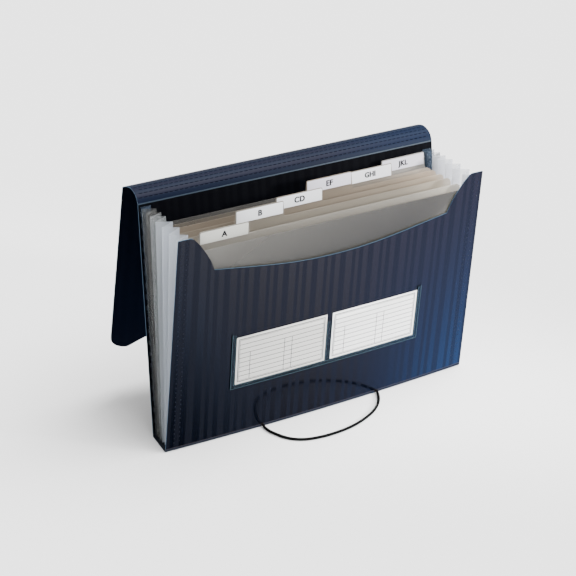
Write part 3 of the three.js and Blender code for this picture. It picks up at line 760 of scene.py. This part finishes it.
def band(name, u0, u1, v0, v1, o0, o1, material):
    """A flat strip on the panel; v0 and v1 may follow u."""
    f0 = v0 if callable(v0) else (lambda u: v0)
    f1 = v1 if callable(v1) else (lambda u: v1)
    n = max(2, int(abs(u1 - u0) / 4))
    uu = [u0 + (u1 - u0) * i / n for i in range(n + 1)]
    fl_ = [[(u, f0(u)), (u, (f0(u) + f1(u)) / 2), (u, f1(u))] for u in uu]
    ob = slab(name, [[front_at(u, v, o1) for u, v in c_] for c_ in fl_], [[front_at(u, v, o0) for u, v in c_] for c_ in fl_], fl_, [material])
    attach(ob, "front")
    return ob


R = 3.6
band("pocket_rim_bottom", -105, 105, P_LO, P_LO + R, 0.30, 0.72, rim_film)
band("pocket_rim_left", -105, -105 + R, P_LO + R, lambda u: p_top(u), 0.30, 0.72, rim_film)
band("pocket_rim_right", 105 - R, 105, P_LO + R, lambda u: p_top(u), 0.30, 0.72, rim_film)
band("pocket_rim_middle", -2.3, 2.9, P_LO + R, lambda u: p_top(u), 0.30, 0.72, rim_film)
for name, u0, u1, v0, v1 in (
    ("edge_bottom", -105, 105, P_LO, P_LO + 0.45),
    ("edge_left", -105, -104.55, P_LO + 0.45, p_top),
    ("edge_right", 104.55, 105, P_LO + 0.45, p_top),
    ("inner_left", -105 + R - 0.45, -105 + R, P_LO + R, p_top),
    ("inner_right", 105 - R, 105 - R + 0.45, P_LO + R, p_top),
    ("inner_bottom", -105 + R, 105 - R, P_LO + R - 0.4, P_LO + R),
    ("mid_left", -2.3, -1.9, P_LO + R, p_top),
    ("mid_right", 2.5, 2.9, P_LO + R, p_top),
    
):
    band("pocket_line_" + name, u0, u1, v0, v1, 1.16, 1.24, rim_line)

for side, u0, u1 in (("left", -100.0, -2.8), ("right", 3.4, 100.6)):
    lo, hi = 56.8, 107.2
    items = []
    w = 0.52

    def hline(ua, ub, v, wd=w):
        items.append((front_at, ua, ub, v - wd / 2, v + wd / 2, 0.60, 0.635))

    def vline(u, va, vb, wd=w):
        items.append((front_at, u - wd / 2, u + wd / 2, va, vb, 0.60, 0.635))
    for inset, wd in ((2.4, 0.7), (3.6, 0.35)):
        a, b, c0, c1 = u0 + inset, u1 - inset, lo + inset, hi - inset
        hline(a, b, c0, wd); hline(a, b, c1, wd); vline(a, c0, c1, wd); vline(b, c0, c1, wd)
    a, b, c0, c1 = u0 + 3.5, u1 - 3.5, lo + 3.5, hi - 3.5
    step = (c1 - c0) / 9
    for k in range(1, 9):
        hline(a, b, c0 + step * k)
    vline(a + (b - a) * 0.125, c0, c1 - 3 * step)
    vline(a + (b - a) * 0.53, c0, c1 - step * 2)
    vline(a + (b - a) * 0.62, c0, c1 - step * 2)
    rules = boxes("printed_rules_" + side, items, [rule_ink])
    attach(rules, "front")

# ---- elastic loop ---------------------------------------------------------------
loop = [(-66.5, -18.9, 2.25), (-66.7, -20.4, 2.0), (-67.0, -22.6, 1.6), (-67.2, -26.5, 1.37), (-66.6, -32.5, 1.37), (-64.7, -38.9, 1.37), (-61.2, -47.3, 1.37), (-56.0, -54.8, 1.37), (-46.1, -61.7, 1.37), (-30.3, -65.7, 1.37), (-10.3, -66.2, 1.37), (12.1, -62.4, 1.37), (34.8, -53.0, 1.37), (46.2, -45.3, 1.37), (54.2, -37.2, 1.37), (59.2, -30.0, 1.37), (61.8, -25.2, 1.37), (63.0, -22.2, 1.6), (63.4, -20.4, 2.0), (63.5, -18.9, 2.25)]
pts = [p / 1000 for p in spline(loop, 8)]
cu = bpy.data.curves.new("elastic_loop", "CURVE")
cu.dimensions = "3D"
cu.bevel_depth = 0.00136
cu.bevel_resolution = 5
cu.use_fill_caps = True
sp = cu.splines.new("POLY")
sp.points.add(len(pts) - 1)
for q, p in zip(sp.points, pts):
    q.co = (p.x, p.y, p.z, 1)
    # the ends are drawn thin where they pass under the front cover's foot
    q.radius = 0.86 + 0.14 * min(1.0, max(0.0, (-p.y - 0.0196) / 0.0035))
loop_ob = bpy.data.objects.new("elastic_loop", cu)
scene.collection.objects.link(loop_ob)
cu.materials.append(elastic)
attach(loop_ob, "base"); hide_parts("elastic_cord")
finish_node("cord_barb_left", metal); finish_node("cord_barb_right", metal)

GLOW_DARK, GLOW_GREY, GLOW_BLUE = (0.004, 0.004, 0.008, 1), (1.44, 1.40, 1.68, 1), (0.85, 2.06, 5.6, 1)

GLOW_RIGHT, GLOW_LEFT, GLOW_FAR = (1.08, 1.04, 1.62, 1), (1.95, 2.30, 3.45, 1), (0.40, 0.46, 0.66, 1)

# ---- stage ------------------------------------------------------------------------
floor_mat = plain("floor", (0.90, 0.90, 0.90, 1), 0.9, 0.0)
bpy.ops.mesh.primitive_plane_add(size=14, location=(0, 0, -0.0002))
floor = bpy.context.object
floor.name = "floor"
floor.data.materials.append(floor_mat)
floor.visible_glossy = False
world = scene.world or bpy.data.worlds.new("world")
scene.world = world
world.use_nodes = True
wn, wl = world.node_tree.nodes, world.node_tree.links
bg = wn.get("Background") or wn.new("ShaderNodeBackground")
bg.inputs["Strength"].default_value = 1.0


def world_math(op, a, b=None, clamp=False):
    m = wn.new("ShaderNodeMath"); m.operation = op; m.use_clamp = clamp
    for k, v in enumerate((a, b)):
        if v is None:
            continue
        if isinstance(v, (int, float)):
            m.inputs[k].default_value = v
        else:
            wl.new(v, m.inputs[k])
    return m.outputs[0]


def world_step(value, lo, hi):
    m = wn.new("ShaderNodeMapRange"); m.interpolation_type = "SMOOTHSTEP"
    m.inputs["From Min"].default_value = lo; m.inputs["From Max"].default_value = hi
    wl.new(value, m.inputs["Value"])
    return m.outputs[0]


def world_mix(fac, a, b):
    m = wn.new("ShaderNodeMix"); m.data_type = "RGBA"
    wl.new(fac, m.inputs[0])
    for k, v in ((6, a), (7, b)):
        if isinstance(v, tuple):
            m.inputs[k].default_value = v
        else:
            wl.new(v, m.inputs[k])
    return m.outputs[2]


# the studio round the part: white above, and a dim table with a blue glow to the right in the reflections
wtc = wn.new("ShaderNodeTexCoord")
wsx = wn.new("ShaderNodeSeparateXYZ")
wl.new(wtc.outputs["Generated"], wsx.inputs[0])
wx, wz = wsx.outputs["X"], wsx.outputs["Z"]
grey = world_step(wz, -0.655, -0.49)
table = world_mix(world_step(wx, 0.47, 0.58), GLOW_GREY, GLOW_RIGHT)
table = world_mix(world_math("SUBTRACT", 1.0, world_step(wx, 0.385, 0.435)), table, GLOW_LEFT)
table = world_mix(world_math("SUBTRACT", 1.0, world_step(wx, 0.18, 0.32)), table, GLOW_FAR)
low = world_mix(grey, GLOW_DARK, table)
glow = world_math("MULTIPLY", world_step(wx, 0.50, 0.66), world_math("SUBTRACT", 1.0, world_step(wz, -0.63, -0.50)))
glow = world_math("MULTIPLY", glow, world_math("SUBTRACT", 1.0, world_step(wx, 0.76, 0.90)))
low = world_mix(glow, low, GLOW_BLUE)
sky = world_mix(world_step(wz, -0.30, 0.05), low, (1.0, 1.0, 1.0, 1))
wl.new(sky, bg.inputs["Color"])


def lamp(kind, name, loc, target, power, **settings):
    li = bpy.data.lights.new(name, kind)
    li.energy = power
    for k, v in settings.items():
        setattr(li, k, v)
    ob = bpy.data.objects.new(name, li)
    scene.collection.objects.link(ob)
    ob.location = loc
    ob.rotation_mode = "QUATERNION"
    ob.rotation_quaternion = (Vector(target) - Vector(loc)).to_track_quat("-Z", "Y")
    return ob


lamp("SUN", "top", (0.62, -0.30, 1.3), (0, 0, 0), 8.5, angle=rad(60))
lamp("SPOT", "side", (0.72, -0.80, 0.46), (0.12, -0.02, 0.07), 160, spot_size=rad(22), spot_blend=1.0, shadow_soft_size=0.12)

# ---- camera ------------------------------------------------------------------------
az, el, roll = rad(-32.332), rad(25.463), rad(0.995)
fwd = Vector((-math.sin(az) * math.cos(el), math.cos(az) * math.cos(el), -math.sin(el)))
right = fwd.cross(Vector((0, 0, 1))).normalized()
up = right.cross(fwd)
r2 = right * math.cos(roll) + up * math.sin(roll)
u2 = up * math.cos(roll) - right * math.sin(roll)
eye = Vector((-0.02062, 0, 0.13758)) - fwd * 1.5996
cam_data = bpy.data.cameras.new("camera")
cam_data.sensor_fit = "HORIZONTAL"
cam_data.sensor_width = 36
cam_data.lens = 1711.0 * 36 / 576
cam_data.shift_x = (288 - 295.3) / 576
cam_data.shift_y = (277.1 - 288) / 576
cam_data.clip_start, cam_data.clip_end = 0.05, 30
cam = bpy.data.objects.new("camera", cam_data)
scene.collection.objects.link(cam)
b = -fwd
cam.matrix_world = Matrix(((r2.x, u2.x, b.x, eye.x), (r2.y, u2.y, b.y, eye.y), (r2.z, u2.z, b.z, eye.z), (0, 0, 0, 1)))
scene.camera = cam
